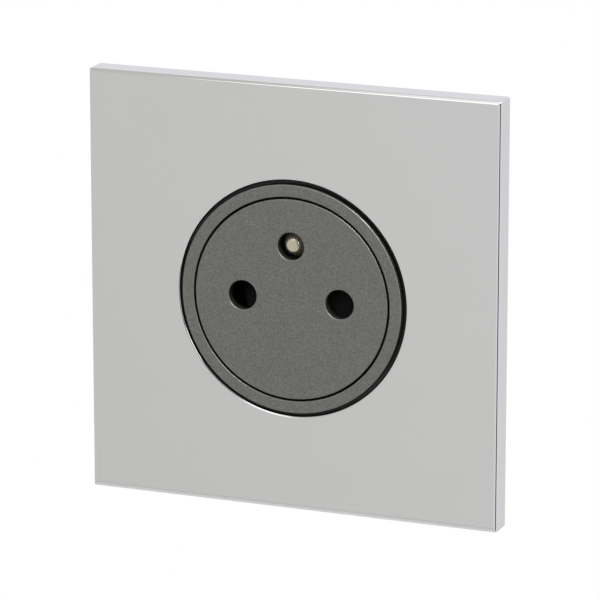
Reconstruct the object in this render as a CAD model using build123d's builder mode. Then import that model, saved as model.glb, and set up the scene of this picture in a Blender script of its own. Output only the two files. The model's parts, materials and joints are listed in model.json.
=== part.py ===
"""Flush wall socket with a sprung face disc, made to be screwed to a 60 mm wall box.

Seen from the room, X runs to the right and Z up, and Y runs into the wall.
The origin is the plate's centre on the wall surface. All sizes are in millimetres.
"""

import os
from math import atan, degrees

from build123d import *

# Plug that the socket takes: round live pins, a fixed earth pin and the recess for its face
PIN_PITCH = 19.0
PIN_R = 2.4
PIN_LENGTH = 19.0
EARTH_OFFSET = 10.0
RECESS = 15.0

# Cover plate
PLATE_SIZE = 80.0
PLATE_RISE = 4.5
PLATE_WALL = 1.2
PLATE_CORNER = 0.8
PLATE_EDGE = 0.25
HOLE_EDGE = 0.35
NUB_LENGTH = 12.0
NUB_REACH = 0.5
NUB_HALF = 0.4
NUB_SLOPE = 40.0
NUB_GAP = 0.15

# Ring and face disc, flush with each other and just proud of the plate
DISC_R = 18.78
DISC_GAP = 0.4
RING_WIDTH = 2.27
RING_GAP = 0.65
FACE_PROUD = 0.55
FACE_EDGE = 0.2
DISC_THICK = 2.0
LIVE_HOLE_R = 2.75
EARTH_HOLE_GAP = 0.175

# Skirt and stop tabs that guide the disc in the ring's sleeve
SKIRT_LENGTH = 8.0
SKIRT_WALL = 1.2
TAB_COUNT = 3
TAB_WIDTH = 4.0
TAB_HEIGHT = 2.0
TAB_MARGIN = 0.45
TAB_SIDE_GAP = 0.3
STOP_GAP = 0.05
SLEEVE_WALL = 1.5
SLEEVE_FIT = 0.12
PLATFORM_GAP = 0.38
GROOVE_ROOM = 0.55

# Snap lugs that hold the sleeve in the body
LUG_WIDTH = 5.0
LUG_LENGTH = 3.0
LUG_REACH = 0.7
LUG_DEPTH = 7.0
LUG_GAP = 0.3

# Return springs, of wire with a few flat sides in place of round wire
WIRE_SIDES = 5
DISC_WIRE = 0.8
DISC_TURNS = 3.2
NEST_GAP = 0.1
SHUTTER_WIRE = 0.4
SHUTTER_COIL_R = 1.5
SHUTTER_TURNS = 6.0

# Moulded body and base
BODY_WALL = 2.2
BODY_CORNER = 8.0
MOULD_WALL = 1.6
GROOVE_FLOOR = 1.3
POCKET_FLOOR = 2.0
FLANGE_LIP = 2.5
FLANGE_GAP = 0.1
PASSAGE_GAP = 0.6
EARTH_FIT = 0.1
LATCH_WIDTH = 8.0
LATCH_REACH = 0.9
LATCH_LENGTH = 2.6
LATCH_SPREAD = 24.0
LATCH_GAP = 0.05

# Steel support frame, pressed from sheet, with slots for the wall box's screws
FIXING_PITCH = 60.0
SLOT_WIDTH = 4.2
SLOT_LENGTH = 6.0
SLOT_LAND = 0.4
POCKET_WIDTH = 10.0
FRAME_SHEET = 1.0
FRAME_LIFT = 1.0
FRAME_CORNER = 5.0
FRAME_FIT = 0.3

# Plastic carrier that snaps the cover plate to the support frame
CARRIER_FIT = 0.2
CARRIER_CORNER = 3.0
OPENING_MARGIN = 2.5
HOOK_SPREAD = 44.0
HOOK_WIDTH = 6.0
HOOK_THICK = 1.0
HOOK_BARB = 0.6
HOOK_INSET = 4.0
HOOK_GAP = 0.2
BARB_LENGTH = 0.7

# Shutter behind the live holes
SHUTTER_TRAVEL = 6.0
COVER_WIDTH = 6.0
COVER_HEIGHT = 6.6
COVER_LIP = 0.8
COVER_ROUND = 1.2
BRIDGE_THICK = 2.0
SEAT_WIDTH = 5.0
SEAT_THICK = 2.0
SPIGOT_R = 1.0
SPIGOT_LENGTH = 1.6
SHUTTER_GAP = 0.2
GUIDE_THICK = 1.2
RAIL_THICK = 1.5
RAIL_GAP = 0.3
RAIL_SPARE = 0.7
STOP_THICK = 1.2
STOP_REACH = 2.0

# Brass contacts, earth pin and strap
SHEET = 0.8
PINCH = 2.1
MOUTH = 3.4
ROOT = 3.2
LEAF_WIDTH = 5.6
MOUTH_GAP = 0.8
PINCH_DEPTH = 3.8
PINCH_LENGTH = 2.0
STRIP_WIDTH = 5.0
PIN_ROOM = 2.65
BAND_THICK = 0.5
BAND_SLIT = 1.0
BAND_GAP = 0.05
EARTH_SUNK = 0.9
TIP_FLAT_R = 1.1
TIP_RIM_R = 1.43
TIP_RIM_DROP = 0.28
TIP_LENGTH = 1.9
TIP_ROUND = 1.2
COLLAR_R = 3.6
COLLAR_THICK = 1.2
TAIL_R = 1.45
STRAP_HALF = 3.6
BEND_R = 0.3
LEAF_BEND_R = 1.5

# Screw terminals: a cage round each contact's tongue, and its screw
EARTH_STEP = 2.2
BAND_CLEARANCE = 0.35
CAGE_GAP = 0.1
CAGE_WALL = 1.1
CAGE_BASE = 2.4
WINDOW_WIDTH = 8.4
WINDOW_HEIGHT = 4.9
CAGE_LENGTH = 6.4
CAGE_BACK_GAP = 0.2
CAGE_CHAMFER = 0.6
WIRE_HOLE_R = 1.9
WIRE_PITCH = 4.2
FUNNEL = 0.6
CLAMP_SCREW_R = 1.75
CLAMP_HEAD_R = 2.9
CLAMP_HEAD = 2.4
CLAMP_TIP = 0.4
CLAMP_STANDOFF = 0.8
ACCESS_GAP = 0.25
SCREW_FIT = 0.05
DRIVER_SLOT = 0.9
DRIVER_DEPTH = 1.1
RIB_THICK = 1.0
RIB_GAP = 0.2
RIB_LENGTH = 5.0
PARTITION = 1.4
BASE_EDGE = 1.0

# Four screws that hold the base to the body
CASE_SCREW_R = 1.45
CASE_HEAD_R = 2.6
CASE_HEAD = 1.8
CASE_SCREW_INSET = 4.7
CASE_BITE = 8.0
PILOT_SPARE = 1.5
COLUMN_WALL = 1.7
HEAD_GAP = 0.3
HEAD_SUNK = 0.4

# Radii that follow from the face
well_r = DISC_R + DISC_GAP
ring_r = well_r + RING_WIDTH
plate_hole_r = ring_r + RING_GAP
sleeve_r = well_r + SLEEVE_WALL
tab_r = sleeve_r - TAB_MARGIN
bore_r = sleeve_r + SLEEVE_FIT
skirt_in_r = DISC_R - SKIRT_WALL
platform_r = skirt_in_r - PLATFORM_GAP
cavity_r = platform_r - MOULD_WALL
earth_hole_r = PIN_R + EARTH_HOLE_GAP
passage_r = PIN_R + PASSAGE_GAP

# Widths that follow from the bore and the fixing pitch
body_half = bore_r + BODY_WALL
flange_half = body_half + FLANGE_LIP
inner_half = body_half - MOULD_WALL
frame_half = FIXING_PITCH / 2 + SLOT_LENGTH / 2 + SLOT_LAND + FRAME_SHEET
pocket_length = SLOT_LENGTH + 2 * SLOT_LAND
case_screw_spread = 2 * (body_half - CASE_SCREW_INSET)

# Depths, from the face of the disc back to the base
face_y = -PLATE_RISE - FACE_PROUD
plate_y = -PLATE_RISE
plate_inside_y = plate_y + PLATE_WALL
flange_y = plate_inside_y + FLANGE_GAP
frame_y = -FRAME_LIFT - FRAME_SHEET
nub_y = (plate_inside_y + frame_y) / 2
disc_back_y = face_y + DISC_THICK
skirt_end_y = face_y + SKIRT_LENGTH
slot_start_y = skirt_end_y - TAB_HEIGHT - STOP_GAP
platform_y = disc_back_y + RECESS + DISC_WIRE + STOP_GAP
platform_back_y = platform_y + MOULD_WALL
groove_y = skirt_end_y + RECESS + GROOVE_ROOM
body_back_y = groove_y + GROOVE_FLOOR
guide_back_y = body_back_y + GUIDE_THICK
shutter_front_y = platform_back_y + SHUTTER_GAP
shutter_back_y = body_back_y - SHUTTER_GAP
contact_mouth_y = guide_back_y + MOUTH_GAP
collar_back_y = guide_back_y + COLLAR_THICK
strap_back_y = collar_back_y + SHEET
pin_reach_y = face_y + RECESS + PIN_LENGTH
base_inside_y = pin_reach_y + PIN_ROOM + SHEET
base_back_y = base_inside_y + MOULD_WALL
contact_floor_y = base_inside_y - SHEET

# Tongues of the terminals, measured from the centre outwards along Z
band_half_z = LEAF_WIDTH / 2 + BAND_GAP + BAND_THICK
live_tongue_z = band_half_z + BAND_CLEARANCE + CAGE_WALL + CAGE_GAP
earth_tongue_z = EARTH_OFFSET + EARTH_STEP

# Sizes of the cages, measured outwards from the tongue's inner face
tongue_to_cage = -CAGE_GAP - CAGE_WALL
tongue_to_window_end = WINDOW_HEIGHT - CAGE_GAP
tongue_to_cage_end = tongue_to_window_end + CAGE_BASE
tongue_to_wire = (SHEET + tongue_to_window_end) / 2
tongue_to_head = tongue_to_cage_end + CLAMP_STANDOFF
cage_back_y = contact_floor_y - CAGE_BACK_GAP
cage_front_y = cage_back_y - CAGE_LENGTH
cage_half = WINDOW_WIDTH / 2 + CAGE_WALL
clamp_y = (cage_front_y + cage_back_y) / 2

# Places of the pins, as (X, Z) on a plane that faces the room
live_spots = [(-PIN_PITCH / 2, 0), (PIN_PITCH / 2, 0)]
earth_spot = (0, EARTH_OFFSET)

# Terminals, as X, the way that Z runs outwards and the tongue's place: neutral, phase and earth
neutral_x = -PIN_PITCH / 2
phase_x = PIN_PITCH / 2
terminals = [(neutral_x, -1, live_tongue_z), (phase_x, -1, live_tongue_z), (0, 1, earth_tongue_z)]


def facing(y):
    """Return the plane at depth y that faces the room, with its X to the right and its Y up."""
    return Plane.XZ.offset(-y)


# Cover plate: a shallow square metal tray with a round hole
with BuildPart() as cover_plate:
    with BuildSketch(facing(0)):
        RectangleRounded(PLATE_SIZE, PLATE_SIZE, PLATE_CORNER)
    extrude(amount=PLATE_RISE)
    chamfer(cover_plate.faces().sort_by(Axis.Y)[0].edges(), PLATE_EDGE)
    with BuildSketch(facing(0)):
        Rectangle(PLATE_SIZE - 2 * PLATE_WALL, PLATE_SIZE - 2 * PLATE_WALL)
    extrude(amount=-plate_inside_y, mode=Mode.SUBTRACT)
    # Notches in the four inner walls, which the carrier's nubs snap into
    with BuildSketch(facing(nub_y + NUB_HALF + NUB_GAP)):
        with PolarLocations(PLATE_SIZE / 2 - PLATE_WALL, 4):
            notch_depth = NUB_REACH - CARRIER_FIT + NUB_GAP
            Rectangle(2 * notch_depth, NUB_LENGTH + 2 * NUB_GAP)
    extrude(amount=2 * (NUB_HALF + NUB_GAP), mode=Mode.SUBTRACT)
    with BuildSketch(facing(0)):
        Circle(plate_hole_r)
    extrude(amount=PLATE_RISE, mode=Mode.SUBTRACT)
    hole_rims = cover_plate.edges().filter_by(GeomType.CIRCLE).filter_by_position(
        Axis.Y, plate_y, plate_y
    )
    chamfer(hole_rims.sort_by(SortBy.RADIUS)[-1], HOLE_EDGE)
cover_plate.part.label = "cover_plate"


# Support frame: a pressed tray, its rim folded back to the wall, with four sunk screw lands
with BuildPart() as support_frame:
    with BuildSketch(facing(0)):
        RectangleRounded(2 * frame_half, 2 * frame_half, FRAME_CORNER)
    extrude(amount=-frame_y)
    with BuildSketch(facing(0)):
        rim_inside = 2 * (frame_half - FRAME_SHEET)
        RectangleRounded(rim_inside, rim_inside, FRAME_CORNER - FRAME_SHEET)
        with PolarLocations(FIXING_PITCH / 2, 4):
            Rectangle(
                pocket_length + 2 * FRAME_SHEET,
                POCKET_WIDTH + 2 * FRAME_SHEET,
                mode=Mode.SUBTRACT,
            )
    extrude(amount=FRAME_LIFT, mode=Mode.SUBTRACT)
    with BuildSketch(facing(-FRAME_SHEET)):
        with PolarLocations(FIXING_PITCH / 2, 4):
            Rectangle(pocket_length, POCKET_WIDTH)
    extrude(amount=FRAME_LIFT, mode=Mode.SUBTRACT)
    with BuildSketch(facing(0)):
        with PolarLocations(FIXING_PITCH / 2, 4):
            SlotOverall(SLOT_LENGTH, SLOT_WIDTH)
        opening = 2 * (body_half + FRAME_FIT)
        RectangleRounded(opening, opening, BODY_CORNER + FRAME_FIT)
        for side in (-1, 1):
            hook_slot_z = frame_half - HOOK_INSET + (HOOK_THICK + HOOK_GAP) / 2
            with Locations((0, side * hook_slot_z)):
                with GridLocations(HOOK_SPREAD, 0, 2, 1):
                    Rectangle(HOOK_WIDTH + 2 * HOOK_GAP, HOOK_THICK + HOOK_GAP)
    extrude(amount=-frame_y, mode=Mode.SUBTRACT)
support_frame.part.label = "support_frame"


# Plate carrier: a flat plastic frame inside the plate, with four hooks through the steel sheet
with BuildPart() as plate_carrier:
    with BuildSketch(facing(frame_y)):
        carrier_size = PLATE_SIZE - 2 * (PLATE_WALL + CARRIER_FIT)
        Rectangle(carrier_size, carrier_size)
        carrier_opening = 2 * (flange_half + OPENING_MARGIN)
        RectangleRounded(carrier_opening, carrier_opening, CARRIER_CORNER, mode=Mode.SUBTRACT)
        with PolarLocations(FIXING_PITCH / 2, 4):
            Rectangle(pocket_length, POCKET_WIDTH, mode=Mode.SUBTRACT)
    extrude(amount=frame_y - plate_inside_y)
    # Double-ramped nubs that snap into the plate's notches
    with BuildSketch(facing(nub_y)):
        with PolarLocations(carrier_size / 2, 4):
            Rectangle(2 * NUB_REACH, NUB_LENGTH)
    extrude(amount=NUB_HALF, both=True, taper=NUB_SLOPE)
    # Each hook is a leg with a barb that grips behind the sheet
    for side in (-1, 1):
        for hook_x in (-HOOK_SPREAD / 2, HOOK_SPREAD / 2):
            leg_z = frame_half - HOOK_INSET
            barb_y = -FRAME_LIFT + LATCH_GAP
            with BuildSketch(Plane.YZ.offset(hook_x - HOOK_WIDTH / 2)):
                with BuildLine():
                    Polyline(
                        (frame_y, side * leg_z),
                        (barb_y + BARB_LENGTH, side * leg_z),
                        (barb_y + BARB_LENGTH, side * (leg_z + HOOK_THICK)),
                        (barb_y, side * (leg_z + HOOK_THICK + HOOK_BARB)),
                        (barb_y, side * (leg_z + HOOK_THICK)),
                        (frame_y, side * (leg_z + HOOK_THICK)),
                        close=True,
                    )
                make_face()
            extrude(amount=HOOK_WIDTH)
plate_carrier.part.label = "plate_carrier"


# Bezel ring: the visible ring and the slotted sleeve behind it, turned about Y
with BuildPart() as bezel_ring:
    with BuildSketch(Plane.XY):
        with BuildLine():
            sleeve_end_y = groove_y - FLANGE_GAP
            Polyline(
                (well_r, face_y),
                (ring_r, face_y),
                (ring_r, flange_y),
                (sleeve_r, flange_y),
                (sleeve_r, sleeve_end_y),
                (well_r, sleeve_end_y),
                close=True,
            )
        face = make_face()
        chamfer(face.vertices().group_by(Axis.Y)[0], FACE_EDGE)
    revolve(axis=Axis.Y)
    # Slots for the disc's stop tabs, open at the back so that the disc goes in from there
    with BuildSketch(facing(sleeve_end_y)):
        with PolarLocations(sleeve_r, TAB_COUNT, start_angle=-90):
            Rectangle(2 * SLEEVE_WALL + 2 * DISC_GAP, TAB_WIDTH + 2 * TAB_SIDE_GAP)
    extrude(amount=sleeve_end_y - slot_start_y, mode=Mode.SUBTRACT)
    # Snap lugs, ramped so that the sleeve pushes in from the front
    for side in (-1, 1):
        with BuildSketch(Plane.XY.offset(-LUG_WIDTH / 2)):
            with BuildLine():
                Polyline(
                    (side * (sleeve_r - SLEEVE_WALL / 2), LUG_DEPTH - LUG_LENGTH),
                    (side * (sleeve_r + LUG_REACH), LUG_DEPTH - LUG_LENGTH),
                    (side * sleeve_r, LUG_DEPTH),
                    (side * (sleeve_r - SLEEVE_WALL / 2), LUG_DEPTH),
                    close=True,
                )
            make_face()
        extrude(amount=LUG_WIDTH)
bezel_ring.part.label = "bezel_ring"


# Face disc: a turned cup whose skirt slides in the sleeve, with three stop tabs
with BuildPart() as face_disc:
    with BuildSketch(Plane.XY):
        with BuildLine():
            Polyline(
                (0, face_y),
                (DISC_R, face_y),
                (DISC_R, skirt_end_y),
                (skirt_in_r, skirt_end_y),
                (skirt_in_r, disc_back_y),
                (0, disc_back_y),
                close=True,
            )
        make_face()
    revolve(axis=Axis.Y)
    with BuildSketch(facing(skirt_end_y)):
        tab_root_r = DISC_R - SKIRT_WALL / 2
        with PolarLocations((tab_root_r + tab_r) / 2, TAB_COUNT, start_angle=-90):
            Rectangle(tab_r - tab_root_r, TAB_WIDTH)
    extrude(amount=TAB_HEIGHT)
    with BuildSketch(facing(disc_back_y)):
        with Locations(*live_spots):
            Circle(LIVE_HOLE_R)
        with Locations(earth_spot):
            Circle(earth_hole_r)
    extrude(amount=DISC_THICK, mode=Mode.SUBTRACT)
    chamfer(face_disc.edges().filter_by_position(Axis.Y, face_y, face_y), FACE_EDGE)
face_disc.part.label = "face_disc"


# Disc spring: a conical coil whose turns nest inside each other when the disc is in
with BuildPart() as disc_spring:
    coil_big_r = platform_r - DISC_WIRE
    coil_small_r = coil_big_r - DISC_TURNS * (DISC_WIRE + NEST_GAP)
    coil_height = platform_y - disc_back_y - DISC_WIRE
    with BuildLine() as coil:
        Helix(
            pitch=coil_height / DISC_TURNS,
            height=coil_height,
            radius=coil_small_r,
            center=(0, platform_y - DISC_WIRE / 2, 0),
            direction=(0, -1, 0),
            cone_angle=degrees(atan((coil_big_r - coil_small_r) / coil_height)),
        )
    with BuildSketch(Plane(origin=coil.line @ 0, z_dir=coil.line % 0)):
        RegularPolygon(DISC_WIRE / 2, WIRE_SIDES)
    sweep(path=coil.line, is_frenet=True)
disc_spring.part.label = "disc_spring"


# Front body: flange, deep round bore for the sleeve, and the platform that the disc comes down to
with BuildPart() as front_body:
    with BuildSketch(facing(body_back_y)):
        RectangleRounded(2 * body_half, 2 * body_half, BODY_CORNER)
    extrude(amount=body_back_y - frame_y)
    with BuildSketch(facing(frame_y)):
        RectangleRounded(2 * flange_half, 2 * flange_half, BODY_CORNER + FLANGE_LIP)
    extrude(amount=frame_y - flange_y)
    with BuildSketch(facing(groove_y)):
        Circle(bore_r)
    extrude(amount=groove_y - flange_y, mode=Mode.SUBTRACT)
    with BuildSketch(facing(body_back_y)):
        Circle(platform_r)
    extrude(amount=body_back_y - platform_y)
    with BuildSketch(facing(body_back_y)):
        Circle(cavity_r)
    extrude(amount=body_back_y - platform_back_y, mode=Mode.SUBTRACT)
    # Pockets that core out the corners, round a column for each case screw
    with BuildSketch(facing(body_back_y)):
        RectangleRounded(2 * inner_half, 2 * inner_half, BODY_CORNER - MOULD_WALL)
        Circle(bore_r + MOULD_WALL, mode=Mode.SUBTRACT)
        with GridLocations(case_screw_spread, case_screw_spread, 2, 2):
            Circle(CASE_SCREW_R + COLUMN_WALL, mode=Mode.SUBTRACT)
    extrude(amount=body_back_y - frame_y - POCKET_FLOOR, mode=Mode.SUBTRACT)
    # Passages for the live pins, and a close one for the earth pin
    with BuildSketch(facing(platform_back_y)):
        with Locations(*live_spots):
            Circle(passage_r)
        with Locations(earth_spot):
            Circle(PIN_R + EARTH_FIT)
    extrude(amount=MOULD_WALL, mode=Mode.SUBTRACT)
    # Windows for the sleeve's snap lugs, through the left and right walls
    with BuildSketch(Plane.YZ.offset(-body_half)):
        with Locations((LUG_DEPTH - LUG_LENGTH / 2, 0)):
            Rectangle(LUG_LENGTH + 2 * LUG_GAP, LUG_WIDTH + 2 * LUG_GAP)
    extrude(amount=2 * BODY_WALL, mode=Mode.SUBTRACT)
    with BuildSketch(Plane.YZ.offset(body_half)):
        with Locations((LUG_DEPTH - LUG_LENGTH / 2, 0)):
            Rectangle(LUG_LENGTH + 2 * LUG_GAP, LUG_WIDTH + 2 * LUG_GAP)
    extrude(amount=-2 * BODY_WALL, mode=Mode.SUBTRACT)
    # Ramped latches that catch behind the steel sheet, above and below
    for side in (-1, 1):
        for latch_x in (-LATCH_SPREAD / 2, LATCH_SPREAD / 2):
            latch_y = -FRAME_LIFT + LATCH_GAP
            with BuildSketch(Plane.YZ.offset(latch_x - LATCH_WIDTH / 2)):
                with BuildLine():
                    Polyline(
                        (latch_y, side * (body_half - MOULD_WALL / 2)),
                        (latch_y, side * (body_half + LATCH_REACH)),
                        (latch_y + LATCH_LENGTH, side * body_half),
                        (latch_y + LATCH_LENGTH, side * (body_half - MOULD_WALL / 2)),
                        close=True,
                    )
                make_face()
            extrude(amount=LATCH_WIDTH)
    # Pilot holes for the case screws
    with BuildSketch(facing(body_back_y)):
        with GridLocations(case_screw_spread, case_screw_spread, 2, 2):
            Circle(CASE_SCREW_R + SCREW_FIT)
    extrude(amount=CASE_BITE + PILOT_SPARE, mode=Mode.SUBTRACT)
front_body.part.label = "front_body"


# Shutter: two ramped covers behind the live holes, joined by a bridge with a spring seat
with BuildPart() as shutter:
    for cover_x in (neutral_x, phase_x):
        with BuildSketch(Plane.YZ.offset(cover_x - COVER_WIDTH / 2)):
            with BuildLine():
                Polyline(
                    (shutter_front_y, -COVER_HEIGHT / 2),
                    (shutter_back_y - COVER_LIP, COVER_HEIGHT / 2),
                    (shutter_back_y, COVER_HEIGHT / 2),
                    (shutter_back_y, -COVER_HEIGHT / 2),
                    close=True,
                )
            make_face()
        extrude(amount=COVER_WIDTH)
    outer_corners = shutter.edges().filter_by(Axis.Y)
    fillet(outer_corners.group_by(Axis.X)[0], COVER_ROUND)
    outer_corners = shutter.edges().filter_by(Axis.Y)
    fillet(outer_corners.group_by(Axis.X)[-1], COVER_ROUND)
    with BuildSketch(facing(shutter_back_y)):
        Rectangle(PIN_PITCH - COVER_WIDTH, COVER_HEIGHT)
    extrude(amount=BRIDGE_THICK)
    coil_y = (shutter_front_y + shutter_back_y) / 2 + BRIDGE_THICK / 4
    seat_front_y = coil_y - SHUTTER_COIL_R - SHUTTER_WIRE
    with BuildSketch(Plane.XY.offset(-COVER_HEIGHT / 2)):
        with Locations((0, (seat_front_y + shutter_back_y) / 2)):
            Rectangle(SEAT_WIDTH, shutter_back_y - seat_front_y)
    extrude(amount=SEAT_THICK)
    with BuildSketch(Plane.XY.offset(-COVER_HEIGHT / 2)):
        with Locations((0, coil_y)):
            Circle(SPIGOT_R)
    extrude(amount=-SPIGOT_LENGTH)
shutter.part.label = "shutter"


# Shutter guide: the insulating plate behind the shutter, with rails and the spring's lower seat
with BuildPart() as shutter_guide:
    with BuildSketch(facing(guide_back_y)):
        Circle(platform_r)
    extrude(amount=GUIDE_THICK)
    with BuildSketch(facing(body_back_y)):
        cover_end_x = PIN_PITCH / 2 + COVER_WIDTH / 2
        rail_x = cover_end_x + RAIL_GAP + RAIL_THICK / 2
        rail_length = COVER_HEIGHT + SHUTTER_TRAVEL + 2 * RAIL_SPARE
        with Locations((0, -SHUTTER_TRAVEL / 2)):
            with GridLocations(2 * rail_x, 0, 2, 1):
                Rectangle(RAIL_THICK, rail_length)
        # Each rail turns in over its cover, as the stop that the small spring pushes it up to
        stop_width = STOP_REACH + RAIL_GAP + RAIL_THICK
        stop_x = cover_end_x - STOP_REACH + stop_width / 2
        stop_z = COVER_HEIGHT / 2 + STOP_GAP + STOP_THICK / 2
        with Locations((0, stop_z)):
            with GridLocations(2 * stop_x, 0, 2, 1):
                Rectangle(stop_width, STOP_THICK)
        spring_floor_z = -cavity_r + SHUTTER_GAP + MOULD_WALL
        with Locations((0, spring_floor_z)):
            Rectangle(SEAT_WIDTH, 2 * MOULD_WALL, align=(Align.CENTER, Align.MAX))
        Circle(cavity_r - SHUTTER_GAP, mode=Mode.INTERSECT)
    extrude(amount=body_back_y - shutter_front_y)
    with BuildSketch(facing(guide_back_y)):
        with Locations(*live_spots):
            Circle(passage_r)
        with Locations(earth_spot):
            Circle(PIN_R + EARTH_FIT)
    extrude(amount=GUIDE_THICK, mode=Mode.SUBTRACT)
shutter_guide.part.label = "shutter_guide"


# Shutter spring: a small coil standing between the guide's seat and the shutter's
with BuildPart() as shutter_spring:
    small_coil_height = -COVER_HEIGHT / 2 - spring_floor_z - SHUTTER_WIRE
    with BuildLine() as small_coil:
        Helix(
            pitch=small_coil_height / SHUTTER_TURNS,
            height=small_coil_height,
            radius=SHUTTER_COIL_R,
            center=(0, coil_y, spring_floor_z + SHUTTER_WIRE / 2),
        )
    with BuildSketch(Plane(origin=small_coil.line @ 0, z_dir=small_coil.line % 0)):
        RegularPolygon(SHUTTER_WIRE / 2, WIRE_SIDES)
    sweep(path=small_coil.line, is_frenet=True)
shutter_spring.part.label = "shutter_spring"


# Earth pin: turned in one piece, domed at the tip, with a collar and a peened tail
with BuildPart() as earth_pin:
    with BuildSketch(Plane.XY.offset(EARTH_OFFSET)):
        tip_y = face_y + EARTH_SUNK
        shoulder_y = tip_y + TIP_LENGTH
        with BuildLine():
            Polyline(
                (0, tip_y),
                (TIP_FLAT_R, tip_y),
                (TIP_RIM_R, tip_y + TIP_RIM_DROP),
                (PIN_R, shoulder_y),
                (PIN_R, guide_back_y),
                (COLLAR_R, guide_back_y),
                (COLLAR_R, collar_back_y),
                (TAIL_R, collar_back_y),
                (TAIL_R, strap_back_y),
                (0, strap_back_y),
                close=True,
            )
        profile = make_face()
        shoulder = profile.vertices().filter_by_position(Axis.Y, shoulder_y, shoulder_y)
        fillet(shoulder, TIP_ROUND)
    revolve(axis=Axis((0, 0, EARTH_OFFSET), (0, 1, 0)))
earth_pin.part.label = "earth_pin"


# Earth strap: a bent brass strip from the pin's tail to the tongue of the earth terminal
with BuildPart() as earth_strap:
    with BuildSketch(Plane.YZ.offset(-STRIP_WIDTH / 2)) as strap:
        with BuildLine():
            Polyline(
                (collar_back_y, EARTH_OFFSET - STRAP_HALF),
                (strap_back_y, EARTH_OFFSET - STRAP_HALF),
                (strap_back_y, earth_tongue_z),
                (cage_back_y, earth_tongue_z),
                (cage_back_y, earth_tongue_z + SHEET),
                (collar_back_y, earth_tongue_z + SHEET),
                close=True,
            )
        make_face()
        outside = strap.vertices().filter_by_position(Axis.X, collar_back_y, collar_back_y)
        fillet(outside.sort_by(Axis.Y)[-1], SHEET + BEND_R)
        inside = strap.vertices().filter_by_position(Axis.X, strap_back_y, strap_back_y)
        fillet(inside.sort_by(Axis.Y)[-1], BEND_R)
    extrude(amount=STRIP_WIDTH)
    with BuildSketch(facing(strap_back_y)):
        with Locations(earth_spot):
            Circle(TAIL_R + SCREW_FIT)
    extrude(amount=SHEET, mode=Mode.SUBTRACT)
earth_strap.part.label = "earth_strap"


def make_contact(x):
    """Return a live contact: two bowed leaves on a floor, with a strip and a tongue to its terminal."""
    pinch_y = contact_mouth_y + PINCH_DEPTH
    with BuildPart() as contact:
        with BuildSketch(Plane.XY.offset(-LEAF_WIDTH / 2)) as clip:
            with BuildLine():
                Polyline(
                    (x, base_inside_y),
                    (x - ROOT - SHEET, base_inside_y),
                    (x - PINCH - SHEET, pinch_y + PINCH_LENGTH),
                    (x - PINCH - SHEET, pinch_y),
                    (x - MOUTH - SHEET, contact_mouth_y),
                    (x - MOUTH, contact_mouth_y),
                    (x - PINCH, pinch_y),
                    (x - PINCH, pinch_y + PINCH_LENGTH),
                    (x - ROOT, contact_floor_y),
                    (x, contact_floor_y),
                    close=True,
                )
            make_face()
            bows = clip.vertices().group_by(Axis.Y)[1:3]
            fillet(bows[0] + bows[1], LEAF_BEND_R)
            outside = clip.vertices().filter_by_position(Axis.Y, base_inside_y, base_inside_y)
            fillet(outside.sort_by(Axis.X)[0], SHEET + BEND_R)
            inside = clip.vertices().filter_by_position(Axis.Y, contact_floor_y, contact_floor_y)
            fillet(inside.sort_by(Axis.X)[0], BEND_R)
            mirror(about=Plane.YZ.offset(x))
        extrude(amount=LEAF_WIDTH)
        with BuildSketch(Plane.YZ.offset(x - STRIP_WIDTH / 2)) as strip:
            with BuildLine():
                Polyline(
                    (base_inside_y, 0),
                    (base_inside_y, -live_tongue_z - SHEET),
                    (cage_front_y, -live_tongue_z - SHEET),
                    (cage_front_y, -live_tongue_z),
                    (contact_floor_y, -live_tongue_z),
                    (contact_floor_y, 0),
                    close=True,
                )
            make_face()
            outside = strip.vertices().filter_by_position(Axis.X, base_inside_y, base_inside_y)
            fillet(outside.sort_by(Axis.Y)[0], SHEET + BEND_R)
            inside = strip.vertices().filter_by_position(Axis.X, contact_floor_y, contact_floor_y)
            fillet(inside.sort_by(Axis.Y)[0], BEND_R)
        extrude(amount=STRIP_WIDTH)
    return contact


neutral_contact = make_contact(neutral_x)
neutral_contact.part.label = "neutral_contact"
phase_contact = make_contact(phase_x)
phase_contact.part.label = "phase_contact"


def make_band(x):
    """Return the slit steel band that squeezes a contact's leaves together."""
    with BuildPart() as band:
        band_y = contact_mouth_y + PINCH_DEPTH + PINCH_LENGTH
        half_width = PINCH + SHEET + BAND_GAP
        half_height = LEAF_WIDTH / 2 + BAND_GAP
        with BuildSketch(facing(band_y)):
            with Locations((x, 0)):
                Rectangle(2 * (half_width + BAND_THICK), 2 * (half_height + BAND_THICK))
                Rectangle(2 * half_width, 2 * half_height, mode=Mode.SUBTRACT)
            with Locations((x, half_height + BAND_THICK / 2)):
                Rectangle(BAND_SLIT, 2 * BAND_THICK, mode=Mode.SUBTRACT)
        extrude(amount=PINCH_LENGTH)
    return band


neutral_band = make_band(neutral_x)
neutral_band.part.label = "neutral_band"
phase_band = make_band(phase_x)
phase_band.part.label = "phase_band"


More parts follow.
